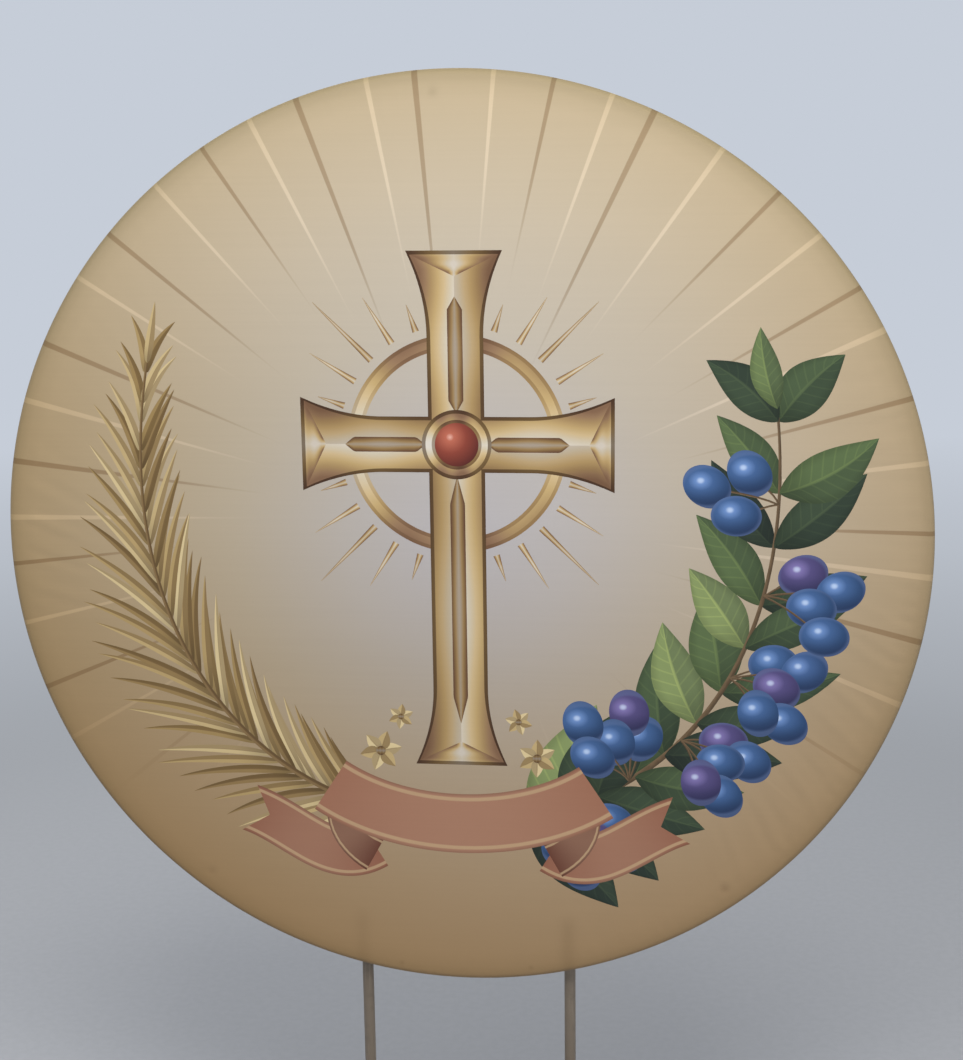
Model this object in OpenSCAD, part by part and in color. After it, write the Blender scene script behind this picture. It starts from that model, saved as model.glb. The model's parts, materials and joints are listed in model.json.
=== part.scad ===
// Round backdrop panel on a two-legged floor stand.
// A tube hoop in three arcs carries a stretched cloth cover with an elastic hem. Two sleeves behind
// the hoop ride on the stand's uprights and are locked there with star knobs.
// Origin: on the floor, midway between the feet. +Z is up, the cloth faces -Y.

/* [Hoop] */
// Outside diameter of the hoop
hoop_d = 1500; // [1000:50:2000]
// Diameter of the hoop tube
hoop_tube_d = 19; // [17:0.5:25]
// Wall of every round tube
tube_wall = 1.2; // [1:0.1:1.6]
// Angle of the hoop's lower arc, seen from the hoop's centre
lower_arc = 70; // [60:1:90]
// Length of the ferrule that joins two arcs
ferrule_len = 120; // [90:5:160]
// Wall of the ferrule
ferrule_wall = 3; // [2:0.5:4]
// Diameter of the rivets in the hoop
rivet_d = 4.8; // [4:0.2:5.6]

/* [Thumbscrews in the hoop] */
// Diameter of a thumbscrew's stud
thumb_stud_d = 5; // [4:0.5:6]
// Height of the nut that is welded to the hoop tube
thumb_nut_h = 5; // [4:0.5:6]
// Bare stud between the nut and the head
thumb_shank = 4; // [3:0.5:6]
// Diameter of the knurled head
thumb_head_d = 14; // [11:0.5:15]
// Height of the knurled head
thumb_head_h = 12; // [9:0.5:14]

/* [Cover] */
// Thickness of the cloth
cloth_t = 1; // [0.8:0.1:1.4]
// Depth of the hem turned in behind the hoop
hem_depth = 54; // [50:1:70]
// Width of the elastic in the hem
elastic_w = 10; // [6:1:12]
// Thickness of the elastic
elastic_t = 1; // [0.8:0.1:1.5]
// Width of the slit in the hem on each side of a standoff plate
slit_gap = 2; // [1:0.5:5]

/* [Sleeves behind the hoop] */
// Gap between the hoop tube and a sleeve
standoff = 8; // [6:1:20]
// Length of a sleeve
sleeve_len = 110; // [95:5:130]
// Thickness of a standoff plate
plate_t = 4; // [3:0.5:6]
// Height of a standoff plate
plate_h = 18; // [12:1:18]
// Height of the lock screw above the sleeve's lower end
lock_h = 60; // [45:1:70]
// Diameter of the lock stud
lock_stud_d = 8; // [6:1:10]
// Height of the nut that is welded to the sleeve
lock_nut_h = 8; // [6:0.5:10]
// Bare stud between the nut and the knob
lock_shank = 4; // [3:0.5:8]

/* [Star knobs] */
// Diameter over the lobes
knob_d = 42; // [34:1:50]
// Number of lobes
knob_lobes = 6; // [5:1:8]
// Height of a knob
knob_h = 20; // [18:1:28]
// Depth of the stud in the knob
knob_insert = 12; // [8:1:13]

/* [Stand] */
// Height of the hoop's underside above the floor
ground_gap = 450; // [380:10:700]
// Distance between the uprights, centre to centre
upright_spacing = 350; // [260:10:450]
// Diameter of the uprights
upright_d = 19; // [16:0.5:20]
// Length of a foot without its end plugs
foot_len = 500; // [400:10:700]
// Side of the square tube of the feet and the crossbar
foot_w = 30; // [30:1:40]
// Wall of the square tube
foot_wall = 1.5; // [1.2:0.1:2]
// Outer corner radius of the square tube
foot_corner = 2; // [1.5:0.1:2.5]
// Height of the sleeve on a foot
foot_sleeve_h = 90; // [70:5:140]
// Leg of the weld round the sleeve on a foot
weld_leg = 2; // [1:0.5:2]
// Length of the threaded insert in the crossbar's end
insert_len = 20; // [16:1:30]
// Diameter of the stand's bolts
bolt_d = 6; // [5:0.5:7]

/* [Plugs and pads] */
// Height of a plastic plug's cap
cap_h = 3; // [2:0.5:5]
// Length of a plastic plug's stem
plug_stem = 18; // [14:1:24]
// Height of a rubber pad
pad_h = 5; // [4:0.5:10]
// Diameter of a rubber pad
pad_d = 22; // [18:1:24]
// Distance from a foot's end to the centre of its pad
pad_inset = 30; // [26:1:60]
// Diameter of the screw that holds a pad
pad_screw_d = 4; // [3:0.5:5]

/* [Hidden] */
$fn = 64;
RING_FN = 360;         // sides of the hoop and of what goes round with it
half_facet = 180 / $fn;  // turns a hole's facets off the tube's plane of symmetry

// Clearances
slide_clear = 0.4;     // between an upright and its sleeves, radial
thread_clear = 0.05;   // between a screw and its thread, radial
hole_clear = 0.3;      // between a screw, bolt or rivet and a plain hole, radial
tip_clear = 0.3;       // between a screw's tip and the tube that it presses on
ferrule_clear = 0.2;   // between a ferrule and the hoop tube, radial
cloth_clear = 0.3;     // between the cloth and the hoop tube
elastic_clear = 0.2;   // round the elastic in its casing
plug_clear = 0.15;     // between a plug or insert and its tube
cap_show = 2;          // from a sleeve's top to the upright's cap
cut = 1;               // by which a cutting tool passes the face it opens

// Hoop
hoop_tube_r = hoop_tube_d / 2;
hoop_r = hoop_d / 2 - hoop_tube_r;      // radius of the tube's centre line
hoop_z = ground_gap + hoop_d / 2;       // height of the hoop's centre
ferrule_r = hoop_tube_r - tube_wall - ferrule_clear;
deg_per_mm = 180 / (PI * hoop_r);       // angle of 1 mm along the tube's centre line
fixing_shift = ferrule_len / 4 * deg_per_mm;
seam_right = lower_arc / 2 - 90;        // angles from +X, anticlockwise seen from the front
seam_left = -90 - lower_arc / 2;
seam_top = 90;
// [angle of the seam, side of it that the thumbscrew is on]
LEFT = [seam_left, -1];
RIGHT = [seam_right, 1];
TOP = [seam_top, 1];
SEAMS = [LEFT, RIGHT, TOP];
thumb_head_at = hoop_tube_r + thumb_nut_h + thumb_shank;

// Cover
cover_in = hoop_tube_r + cloth_clear;
cover_out = cover_in + cloth_t;
hem_r = hoop_d / 2 - hem_depth;         // radius of the hem's edge
casing_w = elastic_w + 2 * (elastic_clear + cloth_t);
casing_h = elastic_t + 2 * elastic_clear + cloth_t;

// Sleeves and uprights: the uprights stand at y = 0
upright_r = upright_d / 2;
upright_x = upright_spacing / 2;
sleeve_bore_r = upright_r + slide_clear;
sleeve_r = sleeve_bore_r + tube_wall;
hoop_y = -(sleeve_r + standoff + hoop_tube_r);
hoop_z_at_upright = hoop_z - sqrt(pow(hoop_r, 2) - pow(upright_x, 2));
sleeve_bottom = hoop_z_at_upright - plate_h / 2;
upright_top = sleeve_bottom + sleeve_len + cap_show;
lock_z = sleeve_bottom + lock_h;
knob_at = sleeve_r + lock_nut_h + lock_shank;

// Foot
foot_top = pad_h + foot_w;
foot_mid = pad_h + foot_w / 2;
foot_bore = foot_w - 2 * foot_wall;
plug_w = foot_bore - 2 * plug_clear;
plug_corner = foot_corner - foot_wall / 2;
crossbar_len = upright_spacing - foot_w;
sleeve_bolt_z = foot_top + foot_sleeve_h / 2;
pad_y = foot_len / 2 - pad_inset;
pad_recess = pad_h / 2;                 // depth of the recess for the pad's screw head

// Standard hardware, from its thread's diameter
function nut_af(d) = 1.65 * d;
function nut_t(d) = 0.8 * d;
function head_t(d) = 0.65 * d;

PAINT = [0.59, 0.525, 0.45];
ZINC = [0.75, 0.75, 0.77];
BLACK = [0.09, 0.09, 0.10];

// ---------- places ----------

// The hoop's own frame: X right, Y up, Z towards the front.
module in_hoop_frame() translate([0, hoop_y, hoop_z]) rotate([90, 0, 0]) children();

// A screw's frame in the hoop: +Z points at the hoop's centre, from a distance d inside the tube's
// centre line.
module at_hoop(angle, d) {
  in_hoop_frame() rotate([0, 0, angle]) translate([hoop_r - d, 0, 0]) rotate([0, -90, 0]) children();
}

// The frame of one upright: side is -1 for the left, which is the right one mirrored.
module at_side(side) mirror([side < 0 ? 1 : 0, 0, 0]) translate([upright_x, 0, 0]) children();

// A lock screw's frame: +Z points backwards, from a distance d behind the upright's axis.
module at_lock(side, d) at_side(side) translate([0, d, lock_z]) rotate([-90, 0, 0]) children();

// A frame with +Z pointing away from the other upright, at a height z and a distance d outwards.
module at_bolt(side, z, d) at_side(side) translate([d, 0, z]) rotate([0, 90, 0]) children();

// The four pads' places.
module at_pads() for (side = [-1, 1], y = [-pad_y, pad_y]) at_side(side) translate([0, y, 0]) children();

function thumb_angle(seam) = seam[0] + seam[1] * fixing_shift;
function rivet_angle(seam) = seam[0] - seam[1] * fixing_shift;

// ---------- shared shapes ----------

module round_square(w, r) {
  square([w - 2 * r, w], center = true);
  square([w, w - 2 * r], center = true);
  for (x = [-1, 1], y = [-1, 1]) translate([x, y] * (w / 2 - r)) circle(r);
}

module square_tube(length) linear_extrude(length) difference() {
  round_square(foot_w, foot_corner);
  round_square(foot_bore, plug_corner);
}

module tube(r, bore_r, h) difference() {
  cylinder(r = r, h = h);
  translate([0, 0, -cut]) cylinder(r = bore_r, h = h + 2 * cut);
}

// A part of a ring of tube, between two angles round the hoop.
module hoop_arc(r, bore_r, from, to) {
  in_hoop_frame() rotate([0, 0, from]) rotate_extrude(angle = to - from, $fn = RING_FN) translate([hoop_r, 0])
    difference() {
      circle(r);
      circle(bore_r);
    }
}

// The whole hoop as a solid ring, to cope plates to it.
module solid_hoop() in_hoop_frame() rotate_extrude($fn = RING_FN) translate([hoop_r, 0]) circle(hoop_tube_r);

// A short stretch of the hoop as a solid bar, to cope small hardware to it in a screw's frame.
module solid_stretch() rotate([90, 0, 0]) cylinder(r = hoop_tube_r, h = 2 * hoop_tube_d, center = true);

module hex_prism(af, h) cylinder(r = af / sqrt(3), h = h, $fn = 6);

module nut(d, h) difference() {
  hex_prism(nut_af(d), h);
  translate([0, 0, -cut]) cylinder(r = d / 2 + thread_clear, h = h + 2 * cut);
}

// A bolt with its shank along -Z and its head on z = 0.
module bolt(d, length) {
  hex_prism(nut_af(d), head_t(d));
  translate([0, 0, -length]) cylinder(r = d / 2, h = length + head_t(d) / 2);
}

// ---------- hoop ----------

// An arc between two seams, with a hole for a thumbscrew or a rivet near each end.
module hoop_segment(from, to, thumb_holes, rivet_holes) color(PAINT) difference() {
  hoop_arc(hoop_tube_r, hoop_tube_r - tube_wall, from, to);
  for (seam = thumb_holes) at_hoop(thumb_angle(seam), hoop_tube_r / 2) rotate([0, 0, half_facet])
    cylinder(r = thumb_stud_d / 2 + hole_clear, h = hoop_tube_r);
  for (seam = rivet_holes) at_hoop(rivet_angle(seam), hoop_tube_r / 2) rotate([0, 0, half_facet])
    cylinder(r = rivet_d / 2 + hole_clear, h = hoop_tube_r);
}

module hoop_lower_arc() hoop_segment(seam_left, seam_right, [], [LEFT, RIGHT]);
module hoop_left_arc() hoop_segment(seam_top, seam_left + 360, [LEFT, TOP], []);
module hoop_right_arc() hoop_segment(seam_right, seam_top, [RIGHT], [TOP]);

module ferrule(seam) {
  half = ferrule_len / 2 * deg_per_mm;
  color(ZINC) difference() {
    hoop_arc(ferrule_r, ferrule_r - ferrule_wall, seam[0] - half, seam[0] + half);
    at_hoop(rivet_angle(seam), 0) cylinder(r = rivet_d / 2 + hole_clear, h = hoop_tube_d);
  }
}

// Blind rivets: a flat round head on the tube and a swollen end in the ferrule's bore.
module ferrule_rivets() {
  head_r = rivet_d * 0.9;
  head_h = rivet_d * 0.3;
  tail_at = ferrule_r - ferrule_wall - rivet_d / 4;
  color(ZINC) for (seam = SEAMS) at_hoop(rivet_angle(seam), 0) {
    translate([0, 0, tail_at]) cylinder(r = rivet_d / 2, h = hoop_tube_r - tail_at + head_h);
    difference() {
      cylinder(r = head_r, h = hoop_tube_r + head_h);
      solid_stretch();
    }
  }
}

module hoop_nuts() color(PAINT) for (seam = SEAMS) at_hoop(thumb_angle(seam), 0) difference() {
  nut(thumb_stud_d, hoop_tube_r + thumb_nut_h);
  solid_stretch();
}

module thumb_stud(seam) {
  from = ferrule_r + tip_clear;
  color(ZINC) at_hoop(thumb_angle(seam), from)
    cylinder(r = thumb_stud_d / 2, h = thumb_head_at + thumb_head_h * 0.7 - from);
}

module thumb_head(seam) {
  teeth = 20;
  collar_h = thumb_head_h / 5;
  tooth_r = thumb_head_d * 0.045;
  color(ZINC) at_hoop(thumb_angle(seam), thumb_head_at) difference() {
    union() {
      cylinder(r = thumb_head_d * 0.36, h = thumb_head_h);
      translate([0, 0, collar_h]) linear_extrude(thumb_head_h - collar_h) difference() {
        circle(thumb_head_d / 2);
        for (i = [1 : teeth]) rotate(i * 360 / teeth) translate([thumb_head_d / 2, 0]) circle(tooth_r);
      }
    }
    translate([0, 0, -cut]) cylinder(r = thumb_stud_d / 2 + thread_clear, h = thumb_head_h * 0.72 + cut);
    // dished end
    translate([0, 0, thumb_head_h - cut]) cylinder(r = thumb_head_d * 0.3, h = 2 * cut);
  }
}

// ---------- cover ----------

// Half section: x is the distance from the hoop's centre and +y is the front. The cloth crosses the
// front, wraps the tube and turns in behind it as a hem. The hem's edge is folded forwards, into a
// casing for the elastic.
module cover_section() {
  translate([0, cover_in]) square([hoop_r, cloth_t]);
  translate([hoop_r, 0]) intersection() {
    difference() {
      circle(cover_out);
      circle(cover_in);
    }
    translate([0, -cover_out]) square(2 * cover_out);
  }
  translate([hem_r, -cover_out]) square([hoop_r - hem_r, cloth_t]);
  translate([hem_r, -cover_in]) difference() {
    square([casing_w, casing_h]);
    translate([cloth_t, 0]) square([casing_w - 2 * cloth_t, casing_h - cloth_t]);
  }
}

module cloth_cover() {
  slit_w = plate_t + 2 * slit_gap;
  slit_bottom = hoop_z_at_upright - plate_h / 2 - slit_gap;
  hem_top = hoop_z - sqrt(pow(hem_r, 2) - pow(upright_x + slit_w / 2, 2));
  color([0.83, 0.77, 0.65]) difference() {
    in_hoop_frame() rotate_extrude($fn = RING_FN) cover_section();
    for (side = [-1, 1]) at_side(side) translate([-slit_w / 2, hoop_y, slit_bottom])
      cube([slit_w, cover_out + cut, hem_top - slit_bottom + cut]);
  }
}

module hem_elastic() color([0.94, 0.94, 0.92]) in_hoop_frame() rotate_extrude($fn = RING_FN)
  translate([hem_r + cloth_t + elastic_clear, elastic_clear - cover_in])
    square([elastic_w, elastic_t]);

// ---------- sleeves and their lock screws ----------

module panel_sleeve(side) color(PAINT) difference() {
  at_side(side) translate([0, 0, sleeve_bottom]) tube(sleeve_r, sleeve_bore_r, sleeve_len);
  at_lock(side, 0) cylinder(r = lock_stud_d / 2 + hole_clear, h = 2 * sleeve_r);
}

// A flat plate on edge, coped to the back half of the hoop tube and to the sleeve.
module standoff_plate(side) color(PAINT) difference() {
  at_side(side) translate([-plate_t / 2, hoop_y, sleeve_bottom]) cube([plate_t, -hoop_y, plate_h]);
  at_side(side) cylinder(r = sleeve_r, h = hoop_z);
  solid_hoop();
}

module sleeve_nuts() color(PAINT) for (side = [-1, 1]) difference() {
  at_lock(side, sleeve_bore_r) nut(lock_stud_d, tube_wall + lock_nut_h);
  at_side(side) cylinder(r = sleeve_r, h = hoop_z);
}

module lock_stud(side) {
  from = upright_r + tip_clear;
  color(ZINC) at_lock(side, from) cylinder(r = lock_stud_d / 2, h = knob_at + knob_insert - from);
}

// Outline of a knob: round lobes with round hollows between them.
module star(r) {
  lobe_r = r * PI / knob_lobes / 2;
  difference() {
    circle(r - lobe_r * 0.35);
    for (i = [1 : knob_lobes]) rotate((i + 0.5) * 360 / knob_lobes) translate([r + lobe_r * 0.15, 0])
      circle(lobe_r);
  }
  for (i = [1 : knob_lobes]) rotate(i * 360 / knob_lobes) translate([r - lobe_r, 0]) circle(lobe_r);
}

// Envelope of a knob: a hub under a disc with a rounded rim.
module knob_envelope() {
  r = knob_d / 2;
  edge = knob_h / 7;
  skirt = knob_h / 4;
  rotate_extrude() {
    square([lock_stud_d / 2 + 5, knob_h - edge]);
    translate([0, skirt]) square([r - edge, knob_h - skirt]);
    translate([0, skirt + edge]) square([r, knob_h - skirt - 2 * edge]);
    for (z = [skirt + edge, knob_h - edge]) translate([r - edge, z]) circle(edge);
  }
}

module lock_knob(side) {
  dish = 1.2;
  dish_r = knob_d;
  color(BLACK) at_lock(side, knob_at) difference() {
    intersection() {
      knob_envelope();
      linear_extrude(knob_h) star(knob_d / 2);
    }
    translate([0, 0, -cut]) cylinder(r = lock_stud_d / 2 + thread_clear, h = knob_insert + 1.5 * cut);
    translate([0, 0, knob_h + dish_r - dish]) sphere(dish_r);
  }
}

// ---------- stand ----------

module upright(side) color(PAINT) difference() {
  at_side(side) translate([0, 0, foot_top]) tube(upright_r, upright_r - tube_wall, upright_top - foot_top);
  at_bolt(side, sleeve_bolt_z, -upright_d) cylinder(r = bolt_d / 2 + hole_clear, h = 2 * upright_d);
}

// A domed cap with a hollow ribbed stem in the tube.
module upright_cap(side) {
  stem_r = upright_r - tube_wall - plug_clear;
  rib_h = plug_stem / 12;
  color(BLACK) at_side(side) translate([0, 0, upright_top]) {
    intersection() {
      cylinder(r = upright_r, h = cap_h);
      translate([0, 0, cap_h - upright_d]) sphere(upright_d);
    }
    translate([0, 0, -plug_stem]) tube(stem_r - 1, stem_r - 2.5, plug_stem);
    for (i = [1 : 3]) translate([0, 0, -i * plug_stem / 4]) tube(stem_r, stem_r - 2, rib_h);
  }
}

module foot_sleeve(side) color(PAINT) difference() {
  at_side(side) translate([0, 0, foot_top]) {
    tube(sleeve_r, sleeve_bore_r, foot_sleeve_h);
    // concave weld
    rotate_extrude() translate([sleeve_r - tube_wall / 2, 0]) difference() {
      square([weld_leg + tube_wall / 2, weld_leg]);
      translate([weld_leg + tube_wall / 2, weld_leg]) circle(weld_leg);
    }
  }
  at_bolt(side, sleeve_bolt_z, -2 * sleeve_r) cylinder(r = bolt_d / 2 + hole_clear, h = 4 * sleeve_r);
}

module sleeve_bolts() color(ZINC) for (side = [-1, 1]) at_bolt(side, sleeve_bolt_z, sleeve_r)
  bolt(bolt_d, 2 * sleeve_r + nut_t(bolt_d) + bolt_d / 2);

module sleeve_bolt_nuts() color(ZINC) for (side = [-1, 1])
  at_bolt(side, sleeve_bolt_z, -sleeve_r - nut_t(bolt_d)) nut(bolt_d, nut_t(bolt_d));

module foot_tube(side) color(PAINT) difference() {
  at_side(side) translate([0, foot_len / 2, foot_mid]) rotate([90, 0, 0]) square_tube(foot_len);
  at_bolt(side, foot_mid, -foot_w) cylinder(r = bolt_d / 2 + hole_clear, h = 2 * foot_w);
  at_pads() cylinder(r = pad_screw_d / 2 + thread_clear, h = foot_mid);
}

module crossbar() color(PAINT) translate([-crossbar_len / 2, 0, foot_mid]) rotate([90, 0, 90])
  square_tube(crossbar_len);

// Threaded inserts pressed into the crossbar's ends.
module crossbar_inserts() color(ZINC) for (side = [-1, 1])
  at_bolt(side, foot_mid, -foot_w / 2 - insert_len) difference() {
    linear_extrude(insert_len) round_square(plug_w, plug_corner);
    translate([0, 0, -cut]) cylinder(r = bolt_d / 2 + thread_clear, h = insert_len + 2 * cut);
  }

module crossbar_bolts() color(ZINC) for (side = [-1, 1]) at_bolt(side, foot_mid, foot_w / 2)
  bolt(bolt_d, foot_w + insert_len * 0.8);

// A stepped cap with a hollow ribbed stem, along +Z.
module foot_end_plug() {
  step = cap_h / 3;
  rib_h = plug_stem / 15;
  linear_extrude(cap_h - step) round_square(foot_w, foot_corner);
  translate([0, 0, cap_h - step]) linear_extrude(step) round_square(foot_w - 2 * step, foot_corner);
  translate([0, 0, -plug_stem]) linear_extrude(plug_stem) difference() {
    square(plug_w - 3, center = true);
    square(plug_w - 6, center = true);
  }
  for (i = [1 : 3]) translate([0, 0, -i * plug_stem / 4]) linear_extrude(rib_h) difference() {
    round_square(plug_w, plug_corner);
    square(plug_w - 6, center = true);
  }
}

module foot_end_plugs() color(BLACK) for (side = [-1, 1], end = [0, 180]) at_side(side)
  translate([0, 0, foot_mid]) rotate([0, 0, end]) translate([0, foot_len / 2, 0]) rotate([-90, 0, 0])
    foot_end_plug();

module foot_pads() color(BLACK) at_pads() difference() {
  cylinder(r1 = pad_d / 2 - 1.5, r2 = pad_d / 2, h = pad_h);
  translate([0, 0, -cut]) cylinder(r = pad_screw_d / 2 + hole_clear, h = pad_h + 2 * cut);
  translate([0, 0, -cut]) cylinder(r = pad_screw_d, h = pad_recess + cut);
}

module pad_screws() color(ZINC) at_pads() {
  translate([0, 0, pad_recess - 0.3 * pad_screw_d]) cylinder(r = 0.9 * pad_screw_d, h = 0.3 * pad_screw_d);
  translate([0, 0, pad_recess - 0.1 * pad_screw_d])
    cylinder(r = pad_screw_d / 2, h = pad_h - pad_recess + foot_wall + 1.5 * pad_screw_d);
}

// ---------- nodes ----------

hoop_lower_arc();
hoop_left_arc();
hoop_right_arc();
ferrule(LEFT);  // ferrule_left
ferrule(RIGHT);  // ferrule_right
ferrule(TOP);  // ferrule_top
ferrule_rivets();
hoop_nuts();
thumb_stud(LEFT);  // thumb_stud_left
thumb_stud(RIGHT);  // thumb_stud_right
thumb_stud(TOP);  // thumb_stud_top
thumb_head(LEFT);  // thumb_head_left
thumb_head(RIGHT);  // thumb_head_right
thumb_head(TOP);  // thumb_head_top
cloth_cover();
hem_elastic();
panel_sleeve(-1);  // panel_sleeve_left
panel_sleeve(1);  // panel_sleeve_right
standoff_plate(-1);  // standoff_plate_left
standoff_plate(1);  // standoff_plate_right
sleeve_nuts();
lock_stud(-1);  // lock_stud_left
lock_stud(1);  // lock_stud_right
lock_knob(-1);  // lock_knob_left
lock_knob(1);  // lock_knob_right
upright(-1);  // upright_left
upright(1);  // upright_right
upright_cap(-1);  // upright_cap_left
upright_cap(1);  // upright_cap_right
foot_sleeve(-1);  // foot_sleeve_left
foot_sleeve(1);  // foot_sleeve_right
sleeve_bolts();
sleeve_bolt_nuts();
foot_tube(-1);  // foot_tube_left
foot_tube(1);  // foot_tube_right
crossbar();
crossbar_inserts();
crossbar_bolts();
foot_end_plugs();
foot_pads();
pad_screws();
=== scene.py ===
# Looks of the round backdrop panel: cloth cover, hardware details, materials, stage, camera and light.
import json
import random
from dataclasses import dataclass
from math import asin, atan2, cos, exp, hypot, pi, radians, sin, sqrt

import bpy
import numpy as np
from mathutils import Matrix, Vector
from mathutils.geometry import delaunay_2d_cdt


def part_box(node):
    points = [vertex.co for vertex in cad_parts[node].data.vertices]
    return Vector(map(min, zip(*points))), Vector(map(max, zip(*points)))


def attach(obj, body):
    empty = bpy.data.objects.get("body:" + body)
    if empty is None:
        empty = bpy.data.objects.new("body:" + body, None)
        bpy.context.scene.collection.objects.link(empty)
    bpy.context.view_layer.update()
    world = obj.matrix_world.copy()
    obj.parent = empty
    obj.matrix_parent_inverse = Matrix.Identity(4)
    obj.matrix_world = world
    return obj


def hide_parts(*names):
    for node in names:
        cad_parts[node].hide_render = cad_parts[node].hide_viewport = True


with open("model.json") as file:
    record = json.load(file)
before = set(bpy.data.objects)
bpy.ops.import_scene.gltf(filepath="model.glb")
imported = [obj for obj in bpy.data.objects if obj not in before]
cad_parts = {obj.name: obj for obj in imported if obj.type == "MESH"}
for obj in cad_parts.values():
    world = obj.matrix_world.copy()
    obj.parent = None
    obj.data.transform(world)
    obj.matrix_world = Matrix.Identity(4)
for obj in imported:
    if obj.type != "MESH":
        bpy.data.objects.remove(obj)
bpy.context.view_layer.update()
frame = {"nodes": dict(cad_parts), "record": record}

MM = 0.001

# ---------- places, from the frame ----------

ARC_LO, ARC_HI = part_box("hoop_lower_arc")
COVER_LO, COVER_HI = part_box("cloth_cover")
BAND_LO, BAND_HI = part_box("hem_elastic")
PLATE_LO, PLATE_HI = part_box("standoff_plate_right")
SLEEVE_LO, SLEEVE_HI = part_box("panel_sleeve_right")
TUBE_R = (ARC_HI.y - ARC_LO.y) / 2
HOOP_Y = (ARC_HI.y + ARC_LO.y) / 2
HOOP_Z = (COVER_HI.z + COVER_LO.z) / 2
HOOP_R = HOOP_Z - ARC_LO.z - TUBE_R
FRONT_Y = COVER_LO.y
PLATE_X = (PLATE_LO.x + PLATE_HI.x) / 2
PLATE_Z = (PLATE_LO.z + PLATE_HI.z) / 2
SLEEVE_R = (SLEEVE_HI.x - SLEEVE_LO.x) / 2
ELASTIC_W = 10 * MM
HEM_R = (BAND_HI.x - BAND_LO.x) / 2 - ELASTIC_W - 1.2 * MM
HEM = HOOP_R - HEM_R            # from the tube's centre line to the hem's edge
CLOTH_T = 0.5 * MM
WRAP_R = TUBE_R + CLOTH_T + 0.35 * MM

COLUMNS = 2160                  # columns of the cloth round the hoop
STEP = 2 * pi / COLUMNS
SLIT = 2                        # columns from a slit's middle to its edge
SLIT_COLUMN = round(asin(PLATE_X / HOOP_R) / STEP)
WRAP_ROWS = 14                  # rows of the cloth round the tube
HEM_ROWS = 14                   # rows of the flat hem
FOLD_ROWS = 5                   # rows of the fold at the hem's edge
FIRST_UPRIGHT_ROW = 6           # from here the cloth beside a plate runs upright like it
FIRST_SLIT_ROW = 8              # from here a slit is open
# thumbscrews that show on the front: how deep their dimple is, and how dark the painted shade in it is
DIMPLES = (("thumb_head_right", 1.0, 0.34), ("thumb_head_left", 0.7, 0.20), ("thumb_head_top", 0.6, 0.22))
EDGE_RINGS = 6                  # rings of points inside the rim
RING_GAP = 3.2 * MM
POINT_GAP = 0.15 * MM           # points of the print's net nearer than this are joined
NEEDLE = 0.05 * MM              # triangles lower than this are turned


# ---------- small helpers ----------

def lin(r, g, b):
    """A colour written as sRGB 0-255, in linear light."""
    out = []
    for c in (r, g, b):
        c /= 255
        out.append(c / 12.92 if c <= 0.04045 else ((c + 0.055) / 1.055) ** 2.4)
    return (*out, 1.0)


def factor(r, g, b):
    """What a colour is multiplied by."""
    return (r, g, b, 1.0)


def smooth(x, a, b):
    """0 below a, 1 above b, smooth between. Works on numbers and arrays."""
    t = np.clip((x - a) / (b - a), 0.0, 1.0)
    return t * t * (3 - 2 * t)


def window(x, a, b, c, d):
    """0 below a and above d, 1 from b to c, smooth between."""
    return smooth(x, a, b) * (1 - smooth(x, c, d))


def angles(n):
    """Equal steps once round, from 0."""
    return [2 * pi * i / n for i in range(n)]


def new_object(name, verts, faces, body, material):
    """A smooth mesh with one material, which moves with a body of the frame when one is given."""
    mesh = bpy.data.meshes.new(name)
    mesh.from_pydata([tuple(v) for v in verts], [], faces)
    mesh.update()
    mesh.polygons.foreach_set("use_smooth", [True] * len(mesh.polygons))
    if material:
        mesh.materials.append(material)
    obj = bpy.data.objects.new(name, mesh)
    bpy.context.scene.collection.objects.link(obj)
    if body:
        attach(obj, body)
    return obj


class Shape:
    """Vertices and faces of one mesh, put together from closed solids."""

    def __init__(self):
        self.verts = []
        self.faces = []

    def solid(self, rows):
        """A closed skin over rows of points, with its two ends filled."""
        n = len(rows[0])
        faces = []
        for j in range(len(rows) - 1):
            for i in range(n):
                k = (i + 1) % n
                faces.append((j * n + i, j * n + k, (j + 1) * n + k, (j + 1) * n + i))
        faces.append(tuple(reversed(range(n))))
        faces.append(tuple(range((len(rows) - 1) * n, len(rows) * n)))
        base = len(self.verts)
        self.verts += [Vector(p) for row in rows for p in row]
        self.faces += [tuple(i + base for i in f) for f in faces]

    def capsule(self, a, b, r, sides=6):
        """A thread from a to b with rounded ends."""
        a, b = Vector(a), Vector(b)
        turn = (b - a).to_track_quat("Z", "Y").to_matrix()
        end = (b - a).length
        profile = ((0, 0.35), (0.3 * r, 0.8), (r, 1), (end - r, 1), (end - 0.3 * r, 0.8), (end, 0.35))
        self.solid([[a + turn @ Vector((s * r * cos(t), s * r * sin(t), z)) for t in angles(sides)]
                    for z, s in profile])

    def drop(self, centre, turn, size, sides=10):
        """A flattened ball, one drop of a weld."""
        rows = []
        for lat in range(-3, 4):
            a = lat * pi / 7
            rows.append([Vector(centre) + turn @ Vector((size[0] * cos(a) * cos(t),
                                                         size[1] * cos(a) * sin(t),
                                                         size[2] * sin(a))) for t in angles(sides)])
        self.solid(rows)


# ---------- the print's motifs ----------
# Disc coordinates: u to the right and v up, in metres, from the hoop's centre.

def turned(x, y, angle, origin):
    """Points turned about 0 by an angle, then moved to an origin."""
    c, s = cos(angle), sin(angle)
    return np.stack([origin[0] + x * c - y * s, origin[1] + x * s + y * c], axis=-1)


def toward(angle):
    """One step at an angle."""
    return np.array([cos(angle), sin(angle)])


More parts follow.
